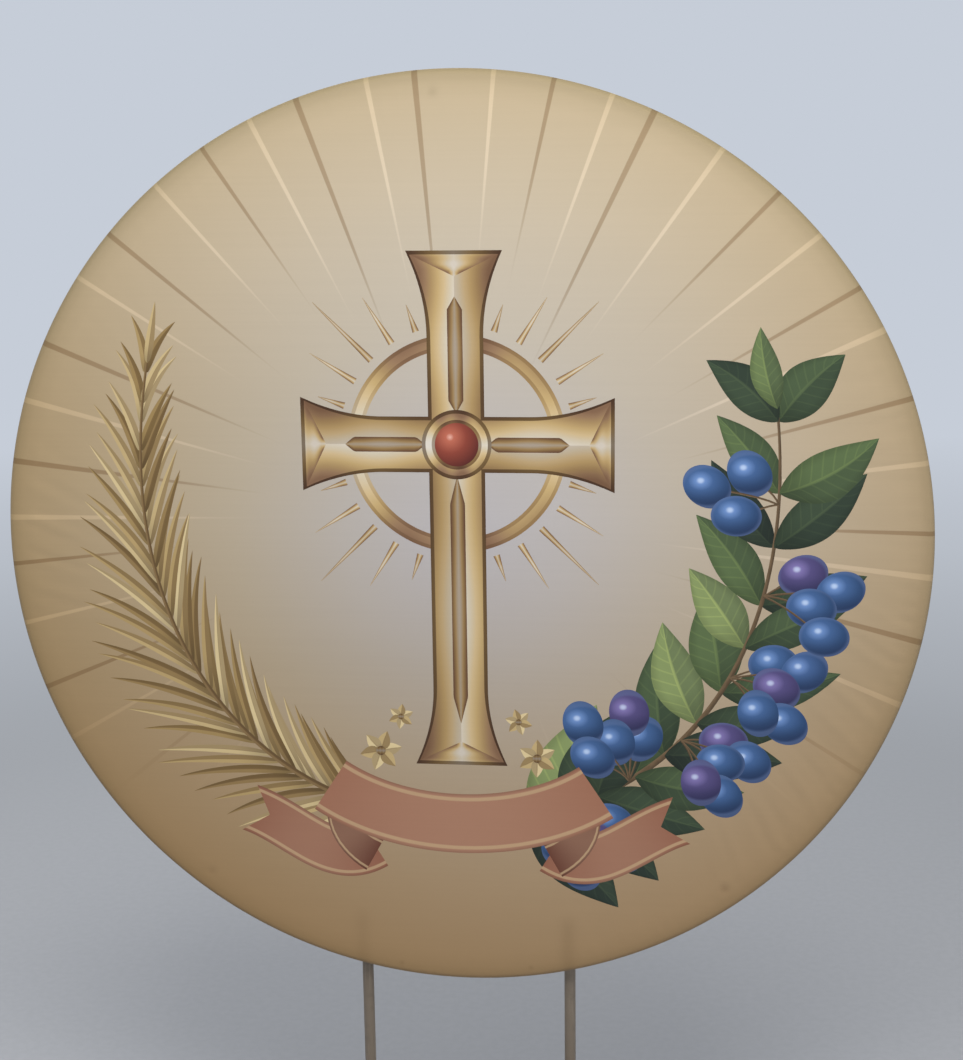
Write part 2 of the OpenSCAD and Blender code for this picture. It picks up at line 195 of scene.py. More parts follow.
@dataclass
class Strip:
    """A motif along a straight or gently bent axis. s runs along it and t is -1 to 1 across."""

    ink: str
    origin: tuple
    angle: float
    length: float
    width: float
    profile: object             # the half width at s, as a share of the width
    bend: float = 0.0
    side: int = 0               # 1 or -1 for the left or the right half alone
    tone: float = 0.5

    def middle(self, s):
        return self.bend * 4 * s * (1 - s)

    def outline(self):
        s = np.linspace(0, 1, max(7, int(self.length / (4 * MM))))
        half = self.width * self.profile(s)
        up = self.middle(s) + (half if self.side >= 0 else 0 * half)
        low = self.middle(s) - (half if self.side <= 0 else 0 * half)
        there = turned(s * self.length, low, self.angle, self.origin)
        back = turned(s[::-1] * self.length, up[::-1], self.angle, self.origin)
        return tidy_loop(np.concatenate([there, back]))

    def inner(self):
        s = np.linspace(0, 1, max(4, int(self.length / (6 * MM))))[1:-1]
        return turned(s * self.length, self.middle(s), self.angle, self.origin)

    def local(self, points):
        c, d = toward(self.angle)
        q = points - self.origin
        x = q[:, 0] * c + q[:, 1] * d
        y = -q[:, 0] * d + q[:, 1] * c
        s = np.clip(x / self.length, 0, 1)
        half = np.maximum(self.width * self.profile(s), 0.06 * self.width)
        return np.stack([s, np.clip((y - self.middle(s)) / half, -1, 1)], axis=-1)


@dataclass
class Band:
    """A motif along a curve: s runs along it and t is -1 to 1 across."""

    ink: str
    path: np.ndarray
    half: object                # half its width: one number, or one for every point
    tone: float = 0.5
    notch: float = 0.0          # how far its end is cut in, like a ribbon's

    def __post_init__(self):
        self.half = np.broadcast_to(self.half, len(self.path))
        along = np.gradient(self.path, axis=0)
        self.along = along / np.linalg.norm(along, axis=1)[:, None]
        self.across = np.stack([-self.along[:, 1], self.along[:, 0]], axis=-1)

    def outline(self):
        low = self.path - self.across * self.half[:, None]
        up = self.path + self.across * self.half[:, None]
        end = [self.path[-1] - self.along[-1] * self.notch] if self.notch else []
        return tidy_loop(np.concatenate([low, np.array(end).reshape(-1, 2), up[::-1]]))

    def inner(self):
        return self.path[1:-1] if self.half.max() > 6 * MM else self.path[:0]

    def local(self, points):
        gap = points[:, None, :] - self.path[None, :, :]
        near = np.argmin((gap ** 2).sum(axis=2), axis=1)
        gap = gap[np.arange(len(points)), near]
        aside = (gap * self.across[near]).sum(axis=1)
        ahead = (gap * self.along[near]).sum(axis=1)
        total = np.linalg.norm(np.diff(self.path, axis=0), axis=1).sum()
        s = near / (len(self.path) - 1) + ahead / total
        return np.stack([np.clip(s, 0, 1), np.clip(aside / self.half[near], -1, 1)], axis=-1)


@dataclass
class Oval:
    """A motif in an ellipse. Its local coordinates are those of a unit disc."""

    ink: str
    centre: tuple
    half: tuple
    angle: float = 0.0
    tone: float = 0.5
    sides: int = 40

    def outline(self):
        t = np.linspace(0, 2 * pi, self.sides, endpoint=False)
        return turned(self.half[0] * np.cos(t), self.half[1] * np.sin(t), self.angle, self.centre)

    def inner(self):
        return np.array([self.centre])

    def local(self, points):
        return (points - self.centre) / self.half


@dataclass
class Ground:
    """The bare ground, which lies over a motif again inside the halo."""

    ring: np.ndarray
    ink: str = "ground"
    tone: float = 0.5

    def outline(self):
        return self.ring

    def inner(self):
        return self.ring[:0]

    def local(self, points):
        return points


def tidy_loop(points):
    """The loop without points that lie on top of their neighbour."""
    keep = [points[0]]
    for p in points[1:]:
        if np.hypot(*(p - keep[-1])) > 0.3 * MM:
            keep.append(p)
    while len(keep) > 3 and np.hypot(*(keep[0] - keep[-1])) <= 0.3 * MM:
        keep.pop()
    return np.array(keep)


def bezier(points, n):
    t = np.linspace(0, 1, n)[:, None]
    a, b, c, d = (np.array(p, dtype=float) for p in points)
    return (1 - t) ** 3 * a + 3 * (1 - t) ** 2 * t * b + 3 * (1 - t) * t ** 2 * c + t ** 3 * d


def leaf_profile(s):
    return np.sin(pi * np.clip(s, 0, 1) ** 0.82) ** 0.95


def blade_profile(s):
    return np.clip(np.sin(pi * np.clip(s, 0, 1) ** 0.6), 0, 1) ** 0.75


def circle(centre, r, n):
    t = np.linspace(0, 2 * pi, n, endpoint=False)
    return np.stack([centre[0] + r * np.cos(t), centre[1] + r * np.sin(t)], axis=-1)


CROSSING = np.array([0.0, 0.17])        # where the cross's arms meet


def round_plate(ink, r, tone, sides):
    """A round motif on the cross's middle."""
    return Oval(ink, CROSSING, (r, r), tone=tone, sides=sides)


def halo():
    """A gold ring behind the cross, and short gold beams between its arms."""
    out = []
    start = 0.19
    for k in range(4):
        for j in range(-2, 3):
            a = pi / 4 + k * pi / 2 + j * radians(13)
            end = (0.32, 0.275, 0.235)[abs(j)]
            out.append(Strip("gold", CROSSING + start * toward(a), a, end - start, 5.5 * MM,
                             lambda s: 1 - 0.93 * s, tone=0.72 if j % 2 else 0.5))
    # the ring: dark edge, light edge and face, with the ground inside
    for r, tone in ((0.176, 0.42), (0.170, 0.95), (0.158, 0.5)):
        out.append(round_plate("gold", r, tone, 180))
    return out + [Ground(circle(CROSSING, 0.152, 170))]


def arm(angle, length):
    """One arm of the cross: a dark edge, two bevels, an end face and an inlay."""
    waist, end = 39 * MM, 70 * MM           # half widths
    flared = 130 * MM
    edge = 6 * MM
    face = 34 * MM
    inlay_from, inlay_short, inlay_half = 50 * MM, 115 * MM, 12 * MM

    def flare(s, grow=0.0):
        d = np.clip((s * length - (length - flared)) / flared, 0, 1)
        return waist + grow + (end - waist) * d ** 2

    def inlay(s):
        return np.clip(9 * s, 0, 1) * np.clip(9 * (1 - s), 0, 1)

    out = [Strip("gold", CROSSING, angle, length + edge, 1.0, lambda s: flare(s, edge), tone=0.0)]
    for side, tone in ((1, 0.80), (-1, 0.45)):
        out.append(Strip("gold", CROSSING, angle, length, 1.0, flare, side=side, tone=tone))
    tip = CROSSING + (length - face) * toward(angle)
    out.append(Strip("gold", tip, angle, face, end, lambda s: s, tone=0.62))
    start = CROSSING + inlay_from * toward(angle)
    out.append(Strip("gold", start, angle, length - inlay_short, inlay_half, inlay, tone=0.25))
    return out


def cross():
    """Four flared arms over their common dark edge, and a boss with a stone."""
    arms = [arm(0.0, 0.245), arm(pi, 0.245), arm(pi / 2, 0.30), arm(-pi / 2, 0.53)]
    out = [edge for edge, *_ in arms]
    for _, *faces in arms:
        out += faces
    for ink, r, tone, sides in (("gold", 0.056, 0.05, 72), ("gold", 0.050, 0.95, 72),
                                ("gold", 0.040, 0.2, 60), ("gem", 0.035, 0.5, 60)):
        out.append(round_plate(ink, r, tone, sides))
    return out


def leaf(origin, angle, length, width, bend, tone):
    return Strip("leaf", origin, angle, length, width / 2, leaf_profile, bend=bend, tone=tone)


def stem(points, n):
    """A curved stem: its path, and its heading at every point of it."""
    path = bezier(points, n)
    return path, [atan2(y, x) for x, y in np.gradient(path, axis=0)]


def olive_branch():
    """A twig that sweeps up the right side, with broad leaves and oval fruits."""
    path, heading = stem([(0.03, -0.455), (0.30, -0.46), (0.56, -0.22), (0.50, 0.25)], 70)
    rnd = random.Random(5)
    back, front, fruits = [], [], []
    pairs = 12                              # pairs of leaves
    for k, i in enumerate(np.linspace(7, 67, pairs).astype(int)):
        size = 1.0 - 0.28 * k / pairs
        for side in (1, -1):
            turn = heading[i] + side * radians(rnd.uniform(38, 58))
            length = size * rnd.uniform(0.185, 0.235)
            width = size * rnd.uniform(0.078, 0.104)
            shade = rnd.choice([0.05, 0.2, 0.42, 0.6, 0.85])
            item = leaf(path[i], turn, length, width, side * rnd.uniform(-0.012, 0.014), shade)
            (back if rnd.random() < 0.5 else front).append(item)
    front.append(leaf(path[-2], heading[-1] + 0.1, 0.13, 0.048, 0.006, 0.7))
    # bunches of fruits, by the point of the twig and their number
    for i, many in ((13, 5), (22, 5), (31, 5), (41, 5), (51, 4), (60, 3)):
        side = -1 if i % 2 else 1
        for j in range(many):
            turn = heading[i] + side * radians(32 + 92 * (j + 0.5) / many + rnd.uniform(-6, 6))
            reach = 0.044 + 0.044 * (j % 2) + rnd.uniform(0, 0.012)
            ahead = toward(turn)
            end = path[i] + reach * ahead
            stalk = bezier([path[i], path[i] + 0.4 * reach * ahead + 0.006, end, end], 8)
            fruits.append(Band("twig", stalk, 1.6 * MM, tone=0.6))
            lean = turn + rnd.uniform(-0.5, 0.5)
            shade = 0.9 if (i + j) % 4 == 3 else rnd.uniform(0.0, 0.5)
            fruits.append(Oval("fruit", end + 0.022 * ahead, (0.0400, 0.0325), lean, shade, 48))
    twig = Band("twig", path, np.linspace(6.5, 2.0, 70) * MM, tone=0.4)
    return back + [twig] + front + fruits


def palm_frond():
    """A golden frond that sweeps up the left side."""
    path, heading = stem([(-0.03, -0.455), (-0.30, -0.47), (-0.60, -0.20), (-0.50, 0.30)], 90)
    rnd = random.Random(9)
    out = []
    pairs = 34                              # pairs of blades
    for k, i in enumerate(np.linspace(10, 88, pairs).astype(int)):
        rise = k / (pairs - 1)
        reach = 0.085 + 0.125 * sin(pi * min(1, 0.18 + 0.80 * rise)) ** 0.8
        for side in (1, -1):
            turn = heading[i] + side * radians(44 - 22 * rise + rnd.uniform(-2, 2))
            length = reach * rnd.uniform(0.94, 1.05)
            bend = -side * rnd.uniform(0.004, 0.012)
            out.append(Strip("palm", path[i], turn, length, 7.2 * MM, blade_profile, bend,
                             tone=rnd.uniform(0.1, 1.0)))
    out.append(Strip("palm", path[-1], heading[-1], 0.10, 7 * MM, blade_profile, tone=0.8))
    out.append(Band("palm", path, np.linspace(6.0, 2.0, 90) * MM, tone=0.05))
    return out


def flowers():
    """Small flowers of six petals, above the ribbon."""
    out = []
    for u, v, size, turn in ((-0.135, -0.345, 0.036, 0.2), (0.125, -0.352, 0.033, 0.5),
                             (-0.10, -0.285, 0.022, 0.4), (0.095, -0.290, 0.023, 0.8)):
        for k in range(6):
            out.append(Strip("palm", (u, v), turn + k * pi / 3, size, 0.30 * size, leaf_profile,
                             tone=0.75 if k % 2 else 1.0))
        out.append(Oval("gold", (u, v), (0.22 * size, 0.22 * size), tone=0.1, sides=24))
    return out


def ribbon():
    """A plain ribbon across the crossed stems, folded back into two tails."""
    out = []
    for side in (-1, 1):
        tail = [(0.150, -0.512), (0.225, -0.560), (0.280, -0.480), (0.362, -0.452)]
        fold = [(0.203, -0.430), (0.214, -0.470), (0.190, -0.510), (0.150, -0.530)]
        tail, fold = ([(side * x, y) for x, y in line] for line in (tail, fold))
        out.append(Band("ribbon", bezier(tail, 40), 0.043, tone=0.45, notch=0.036))
        out.append(Band("ribbon", bezier(fold, 14), np.linspace(0.022, 0.032, 14), tone=0.0))
    middle = bezier([(-0.222, -0.408), (-0.10, -0.490), (0.10, -0.490), (0.222, -0.408)], 60)
    return out + [Band("ribbon", middle, 0.052, tone=0.85)]


def motifs():
    """All shapes of the print, from the back to the front."""
    rim = circle((0, 0), HOOP_R, COLUMNS)
    return [Ground(rim)] + halo() + palm_frond() + olive_branch() + cross() + flowers() + ribbon()


# ---------- the cloth ----------

def gather(phi):
    """Height of the hem's gathers round the hoop, about -1 to 1."""
    wave = np.sin(184 * phi + 1.7 * np.sin(9 * phi) + 0.9 * np.sin(23 * phi + 1))
    return wave * (0.64 + 0.24 * np.sin(13 * phi + 2) + 0.12 * np.sin(31 * phi))


def gather_height(depth):
    """How high the gathers are, by the distance from the tube to the hem's edge."""
    return 1.5 * MM * smooth(depth, 3 * MM, 36 * MM)


def disc_place(node):
    """Where a node's middle is behind the disc."""
    lo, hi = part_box(node)
    return (lo.x + hi.x) / 2, (lo.z + hi.z) / 2 - HOOP_Z


def puckers(phi, r):
    """Height of short puckers that run in from the rim, deepest low on the right and at the left."""
    right = window(phi, 0.45, 0.95, 1.15, 1.65)
    left = window(phi, -1.95, -1.65, -1.55, -1.25)
    faint = 0.16 * (1 - smooth(np.abs(phi), 2.2, 2.9))
    where = np.maximum(np.maximum(right, 0.7 * left), faint)
    slant = phi + 0.55 * r
    wave = np.sin(96 * slant + 2.1 * np.sin(11 * slant) + 5 * r)
    wave += 0.5 * np.sin(171 * slant + 1.3 * np.sin(17 * slant + 1) - 7 * r)
    return where * window(r, 0.56, 0.68, HOOP_R - 30 * MM, HOOP_R - 9 * MM) * wave


def relief(u, v):
    """How far the front of the cloth stands forward, in metres."""
    r = np.hypot(u, v)
    phi = np.arctan2(u, -v)
    lower_right = 0.5 + 0.5 * np.cos(phi - 1.2)
    # the gathers' last traces near the rim, slack ripples further in and puckers over both
    traces = window(r, HOOP_R - 85 * MM, HOOP_R - 20 * MM, HOOP_R - 16 * MM, HOOP_R - 2 * MM)
    out = 0.16 * MM * traces * (0.4 + lower_right) * gather(phi)
    ripple = np.sin(41 * phi + 5 * np.sin(3 * phi) + 9 * r)
    out += 0.30 * MM * window(r, 0.50, 0.66, 0.70, HOOP_R - 4 * MM) * lower_right ** 2 * ripple
    out += 0.45 * MM * puckers(phi, r)
    # a dimple in a low ring over every thumbscrew
    for node, size, _ in DIMPLES:
        cu, cv = disc_place(node)
        d = np.hypot(u - cu, v - cv)
        out -= 1.0 * MM * size * np.exp(-(d / (7 * MM)) ** 2)
        out += 0.35 * MM * size * np.exp(-((d - 15 * MM) / (8 * MM)) ** 2)
    # the uprights' ends press on the cloth from behind
    for side in (-1, 1):
        d = (u - side * (PLATE_X + 1 * MM)) / (11 * MM)
        out += 0.22 * MM * window(v, -0.735, -0.70, -0.640, -0.605) * np.exp(-d * d)
    return out


def print_points(shapes):
    """Points and loops for the print: every motif's outline, and a fine net of points over the disc."""
    points, loops = [], []
    for shape in shapes:
        ring = shape.outline()
        loops.append(list(range(len(points), len(points) + len(ring))))
        points += [tuple(p) for p in (*ring, *shape.inner())]
    # rings near the rim, whose gathers are fine
    for k in range(1, EDGE_RINGS + 1):
        x, y = circle((0, 0), HOOP_R - k * RING_GAP, COLUMNS // 2).T
        points += [tuple(p) for p in turned(x, y, k % 2 * STEP, (0, 0))]
    # a net of nearly equal triangles inside them
    pitch = 6.5 * MM
    n = int(HOOP_R / pitch) + 1
    jj, ii = np.meshgrid(np.arange(-n, n + 1), np.arange(-n, n + 1))
    x = (ii + 0.5 * (jj % 2)) * pitch
    y = jj * pitch * 0.93
    keep = np.hypot(x, y) < HOOP_R - EDGE_RINGS * RING_GAP - 3.8 * MM
    points += list(zip(x[keep], y[keep]))
    return points, loops


def heights(xy, faces):
    """The least height of every triangle, below 0 where it is turned over."""
    a, b, c = xy[faces[:, 0]], xy[faces[:, 1]], xy[faces[:, 2]]
    area = (b[:, 0] - a[:, 0]) * (c[:, 1] - a[:, 1]) - (b[:, 1] - a[:, 1]) * (c[:, 0] - a[:, 0])
    longest = np.max([np.hypot(*(q - p).T) for p, q in ((a, b), (b, c), (c, a))], axis=0)
    return area / np.maximum(longest, 1e-9)


def join_close(xy, faces, top):
    """Joins points that nearly touch: (faces, top, where each point went)."""
    goes = np.arange(len(xy))
    ends = np.concatenate([faces[:, [0, 1]], faces[:, [1, 2]], faces[:, [2, 0]]])
    for a, b in ends[np.hypot(*(xy[ends[:, 0]] - xy[ends[:, 1]]).T) < POINT_GAP]:
        while goes[a] != a:
            a = goes[a]
        while goes[b] != b:
            b = goes[b]
        goes[max(a, b)] = min(a, b)
    while (goes[goes] != goes).any():
        goes = goes[goes]
    faces = goes[faces]
    whole = (faces[:, 0] != faces[:, 1]) & (faces[:, 1] != faces[:, 2]) & (faces[:, 2] != faces[:, 0])
    return faces[whole], top[whole], goes


def swap_needles(xy, faces, top):
    """Turns the long edge of every triangle that is nearly a line, so that no needle is left."""
    for _ in range(6):
        thin = np.flatnonzero(heights(xy, faces) < NEEDLE)
        owner = {}
        for k, (a, b, c) in enumerate(faces.tolist()):
            owner[a, b] = owner[b, c] = owner[c, a] = k
        touched = set()
        for k in thin:
            sides = [(faces[k][i], faces[k][(i + 1) % 3], faces[k][(i + 2) % 3]) for i in range(3)]
            a, b, c = max(sides, key=lambda e: np.hypot(*(xy[e[0]] - xy[e[1]])))
            other = owner.get((b, a))
            if other is None or k in touched or other in touched:
                continue
            d = next(v for v in faces[other] if v not in (a, b))
            pair = np.array([(a, d, c), (d, b, c)])
            if heights(xy, pair).min() > heights(xy, faces[[k, other]]).min():
                faces[[k, other]] = pair
                top[k] = top[other]
                touched |= {k, other}
        if not touched:
            break
    return faces, top


def print_mesh(shapes):
    """The disc as triangles that follow every motif's outline."""
    points, loops = print_points(shapes)
    vecs = [Vector(p) for p in points]
    verts, _, faces, from_verts, _, from_faces = delaunay_2d_cdt(vecs, [], loops, 1, 5e-5)
    xy = np.array([(v.x, v.y) for v in verts])
    faces = np.array([f for f in faces], dtype=int)
    top = np.array([max(f) if f else 0 for f in from_faces])
    over = heights(xy, faces) < 0
    faces[over] = faces[over][:, ::-1]
    faces, top, goes = join_close(xy, faces, top)
    faces, top = swap_needles(xy, faces, top)
    rim = np.zeros(COLUMNS, dtype=int)
    for index, sources in enumerate(from_verts):
        for s in sources:
            if s < COLUMNS:
                rim[s] = goes[index]
    used, flat = np.unique(np.concatenate([faces.reshape(-1), rim]), return_inverse=True)
    return xy[used], flat[:faces.size].reshape(-1, 3), top, flat[faces.size:].tolist()


def stations():
    """The cloth's section behind the front.

    Each row is [out of the tube's centre line, forward, length from the front].
    """
    out = []
    for k in range(1, WRAP_ROWS + 1):
        a = pi / 2 - pi * k / WRAP_ROWS
        out.append([WRAP_R * cos(a), WRAP_R * sin(a), WRAP_R * (pi / 2 - a)])
    fold = 1.3 * MM
    for k in range(1, HEM_ROWS + 1):
        p = -(HEM - fold) * k / HEM_ROWS
        out.append([p, -WRAP_R, pi * WRAP_R - p])
    for k in range(1, FOLD_ROWS + 1):
        a = pi * k / FOLD_ROWS
        out.append([-(HEM - fold) - fold * sin(a), -WRAP_R + fold * (1 - cos(a)), 0])
    # the casing: back over the elastic, then flat on the hem under its stitches
    for far, up in ((3.5, 2.6), (6.5, 2.6), (9.2, 2.45), (10.8, 1.7), (11.8, 1.08),
                    (13.6, 1.02), (15.4, 1.02)):
        out.append([-HEM + far * MM, -WRAP_R + up * MM, 0])
    for k in range(WRAP_ROWS + HEM_ROWS, len(out)):
        before = out[k - 1]
        out[k][2] = before[2] + hypot(out[k][0] - before[0], out[k][1] - before[1])
    return out


def from_slit(column, side):
    """Columns from the middle of the slit on one side."""
    return (column - side * SLIT_COLUMN + COLUMNS // 2) % COLUMNS - COLUMNS // 2


def slit_turn(column, r):
    """How far a column turns so that the columns beside a plate run upright like it."""
    turn = 0.0
    for side in (-1, 1):
        near = exp(-(from_slit(column, side) * STEP / 0.07) ** 2)
        turn += side * (asin(PLATE_X / r) - SLIT_COLUMN * STEP) * near
    return turn


def on_section(column, p, q, depth, turned=True):
    """A point of the cloth's section, at one column round the hoop."""
    r = HOOP_R + p
    phi = column * STEP
    q = q - float(gather_height(depth) * gather(phi))
    if turned:
        phi += slit_turn(column, r)
    return (r * sin(phi), HOOP_Y - q, HOOP_Z - r * cos(phi))


def in_slit(column):
    return any(-SLIT <= from_slit(column, side) < SLIT for side in (-1, 1))


def cover():
    """The whole cover as one sheet: printed front, wrap round the tube, hem and casing."""
    shapes = motifs()
    xy, tris, top, rim = print_mesh(shapes)
    front = HOOP_Y - WRAP_R - relief(xy[:, 0], xy[:, 1])
    verts = [(x, y, HOOP_Z + v) for (x, v), y in zip(xy, front)]
    faces = [tuple(f) for f in tris]
    inks = [INKS.index(shapes[k].ink) for k in top]
    tones = [shapes[k].tone for k in top]
    uv = np.zeros((len(tris) * 3, 2))
    corner = xy[tris.reshape(-1)]
    owner = np.repeat(top, 3)
    for k in np.unique(top):
        mine = owner == k
        uv[mine] = shapes[k].local(corner[mine])
    quads_uv = []
    # the rim's points start at +u and run anticlockwise; columns count from the bottom
    previous = [rim[k] for k in (np.arange(COLUMNS) - COLUMNS // 4) % COLUMNS]
    reach_before = 0.0
    for j, (p, q, reach) in enumerate(stations()):
        base = len(verts)
        depth = max(0.0, -p)
        verts += [on_section(c, p, q, depth, j >= FIRST_UPRIGHT_ROW) for c in range(COLUMNS)]
        quads = []
        for c in range(COLUMNS):
            n = (c + 1) % COLUMNS
            if j >= FIRST_SLIT_ROW and in_slit(c):
                continue
            quads.append((previous[c], base + c, base + n, previous[n]))
            for col, far in ((c, reach_before), (c, reach), (c + 1, reach), (c + 1, reach_before)):
                a = col * STEP
                quads_uv.append(((HOOP_R + far) * sin(a), -(HOOP_R + far) * cos(a)))
        faces += quads
        inks += [INKS.index("ground")] * len(quads)
        tones += [0.5] * len(quads)
        previous = [base + c for c in range(COLUMNS)]
        reach_before = reach
    return verts, faces, inks, tones, np.concatenate([uv, np.array(quads_uv)])


def build_cover():
    verts, faces, inks, tones, uv = cover()
    obj = new_object("cover_cloth", verts, faces, "panel", None)
    mesh = obj.data
    layer = mesh.uv_layers.new(name="print")
    layer.data.foreach_set("uv", uv.reshape(-1))
    mesh.polygons.foreach_set("material_index", inks)
    tone = mesh.attributes.new("tone", "FLOAT", "FACE")
    tone.data.foreach_set("value", tones)
    for reverse in (False, True):
        for ink in INKS:
            mesh.materials.append(ink_material(ink, reverse))
    skin = obj.modifiers.new("thickness", "SOLIDIFY")
    skin.thickness = CLOTH_T
    skin.offset = -1
    skin.material_offset = len(INKS)
    skin.material_offset_rim = len(INKS)
    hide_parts("cloth_cover")
    return obj


# ---------- elastic, stitches, welds and threads ----------

def build_elastic():
    """The elastic tape in the casing, which rises and falls with the gathers."""
    near = HEM_R + 1.5 * MM - HOOP_R
    low, high = -WRAP_R + 0.75 * MM, -WRAP_R + 1.95 * MM
    ring = [(near, low), (near + ELASTIC_W, low), (near + ELASTIC_W, high), (near, high)]
    verts = []
    faces = []
    for c in range(COLUMNS):
        verts += [on_section(c, p, q, HEM) for p, q in ring]
        n = (c + 1) % COLUMNS
        for k in range(4):
            m = (k + 1) % 4
            faces.append((4 * c + k, 4 * n + k, 4 * n + m, 4 * c + m))
    obj = new_object("elastic_tape", verts, faces, "panel", elastic_material())
    obj.data.polygons.foreach_set("use_smooth", [False] * len(obj.data.polygons))
    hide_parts("hem_elastic")
    return obj


def build_stitches():
    """Two rows of stitches that hold the casing, and the edging of the two slits."""
    shape = Shape()
    seams = (12.3 * MM, 14.6 * MM)          # from the hem's edge
    edging, edging_pitch = 20, 2.1 * MM     # stitches along each side of a slit

    def stitch(p, start, end, radius):
        """A stitch from one (column, height over the cloth) to another."""
        a, b = (on_section(c, p, -WRAP_R - up * MM, -p) for c, up in (start, end))
        shape.capsule(a, b, radius)

    for seam in seams:
        for c in range(0, COLUMNS, 2):
            if not (in_slit(c) or in_slit(c + 1)):
                stitch(seam - HEM, (c + 0.25, 0.12), (c + 1.55, 0.12), 0.27 * MM)
    for side in (-1, 1):
        for edge in (-1, 1):
            c = side * SLIT_COLUMN + edge * SLIT
            for k in range(edging):
                stitch(-k * edging_pitch, (c, 0.2), (c + edge * 1.1, 0.15), 0.28 * MM)
    return new_object("hem_stitching", shape.verts, shape.faces, "panel", thread_material())


def weld_run(shape, path, size, closed=False):
    """Overlapping drops along a path, like the ripples of a weld."""
    points = [Vector(p) for p in path]
    for a, b in zip(points, points[1:] + points[:1] if closed else points[1:]):
        turn = (b - a).to_track_quat("X", "Z").to_matrix()
        shape.drop((a + b) / 2, turn, (size * 0.75, size, size * 0.8))


def weld_plate(shape, side):
    """Seams of one standoff plate, on its sleeve and on the hoop, along both faces."""
    half_t = (PLATE_HI.x - PLATE_LO.x) / 2
    y = -sqrt(SLEEVE_R ** 2 - half_t ** 2)
    levels = np.arange(PLATE_LO.z + 0.5 * MM, PLATE_HI.z, 1.3 * MM)
    turns = [radians(-52 + 104 * k / 12) for k in range(13)]
    for face in (-1, 1):
        x = side * PLATE_X + face * half_t
        weld_run(shape, [(x, y, z) for z in levels], 1.5 * MM)
        weld_run(shape, [(x, HOOP_Y + (TUBE_R + 0.2 * MM) * cos(t), PLATE_Z + TUBE_R * sin(t))
                         for t in turns], 1.4 * MM)


def weld_sleeve_nut(shape, side):
    """The seam round the nut of one lock screw, on the curve of its sleeve."""
    lo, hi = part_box("sleeve_nuts")
    middle = (lo.z + hi.z) / 2
    across = 0.96 * (hi.z - lo.z) / 2
    ring = []
    for t in angles(24):
        x = across * cos(t)
        ring.append((side * PLATE_X + x, sqrt(max(SLEEVE_R ** 2 - x * x, 0)) + 0.1 * MM,
                     middle + across * sin(t)))
    weld_run(shape, ring, 1.2 * MM, closed=True)


def weld_hoop_nut(shape, name):
    """The seam round the nut of one thumbscrew, on the curve of the hoop's tube."""
    axis, foot = screw_line("thumb_stud_" + name)
    aside = axis.cross(Vector((0, 1, 0))).normalized()
    r = 4.6 * MM
    ring = []
    for t in angles(20):
        y = r * sin(t)
        sink = TUBE_R - sqrt(TUBE_R ** 2 - y * y)
        ring.append(foot + aside * r * cos(t) + Vector((0, y, 0)) - axis * (sink - 0.1 * MM))
    weld_run(shape, ring, 0.9 * MM, closed=True)


def build_welds():
    shape = Shape()
    for side in (-1, 1):
        weld_plate(shape, side)
        weld_sleeve_nut(shape, side)
    for name in ("left", "right", "top"):
        weld_hoop_nut(shape, name)
    new_object("weld_beads", shape.verts, shape.faces, "panel",
               paint_material("hoop_paint_weld"))


def screw_line(node):
    """(axis towards the hoop's centre, its foot on the tube's inner side) of a thumbscrew."""
    lo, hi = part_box(node)
    middle = (lo + hi) / 2
    centre = Vector((0, HOOP_Y, HOOP_Z))
    axis = (centre - middle).normalized()
    return axis, centre - axis * (HOOP_R - TUBE_R)


def thread(name, node, axis, start, length, radius, pitch, body):
    """A screw with a rolled thread and a turned tip, in place of a plain stud."""
    turn = axis.to_track_quat("Z", "Y").to_matrix()
    sides, per_pitch = 24, 6                # the mesh's facets round the screw, and rows a turn
    n = int(length / pitch * per_pitch)
    rows = []
    for j in range(n + 1):
        z = length * j / n
        tip = 1 - 0.28 * (1 - smooth(z, 0, 1.6 * pitch))
        row = []
        for a in angles(sides):
            phase = (z / pitch - a / (2 * pi)) % 1.0
            depth = 0.54 * pitch * smooth(abs(phase - 0.5) * 2, 0.12, 0.88)
            r = radius * tip - float(depth)
            row.append(start + turn @ Vector((r * cos(a), r * sin(a), z)))
        rows.append(row)
    shape = Shape()
    shape.solid(rows)
    obj = new_object(name, shape.verts, shape.faces, body, zinc_material("zinc_thread"))
    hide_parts(node)


def build_threads():
    for side in ("left", "right"):
        node = "lock_stud_" + side
        lo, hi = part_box(node)
        start = Vector(((lo.x + hi.x) / 2, lo.y, (lo.z + hi.z) / 2))
        radius = (hi.x - lo.x) / 2
        thread("lock_thread_" + side, node, Vector((0, 1, 0)), start, hi.y - lo.y, radius, 1.25 * MM, node)
    for side in ("left", "right", "top"):
        node = "thumb_stud_" + side
        lo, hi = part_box(node)
        axis, _ = screw_line(node)
        radius = (hi.y - lo.y) / 2
        # the stud's length along its slanted axis, from the sides of its box
        flat = abs(axis.x) + abs(axis.z)
        length = (hi.x - lo.x + (hi.z - lo.z) - 2 * radius * flat) / flat
        start = (lo + hi) / 2 - axis * length / 2
        thread("thumb_thread_" + side, node, axis, start, length, radius, 0.8 * MM, "thumbscrew_" + side)


# ---------- node materials ----------

def arithmetic(operation):
    """A method that joins a value and another by one operation of the Math node."""
    return lambda value, other: value.graph.math(operation, value, other)


class Value:
    """A number or a colour in a node tree, which takes plain arithmetic."""

    __add__ = arithmetic("ADD")
    __sub__ = arithmetic("SUBTRACT")
    __mul__ = arithmetic("MULTIPLY")
    __truediv__ = arithmetic("DIVIDE")
    __mod__ = arithmetic("MODULO")

    def __init__(self, graph, socket):
        self.graph = graph
        self.socket = socket

    def __rsub__(self, other):
        return self.graph.math("SUBTRACT", other, self)

    def __abs__(self):
        return self.graph.math("ABSOLUTE", self)


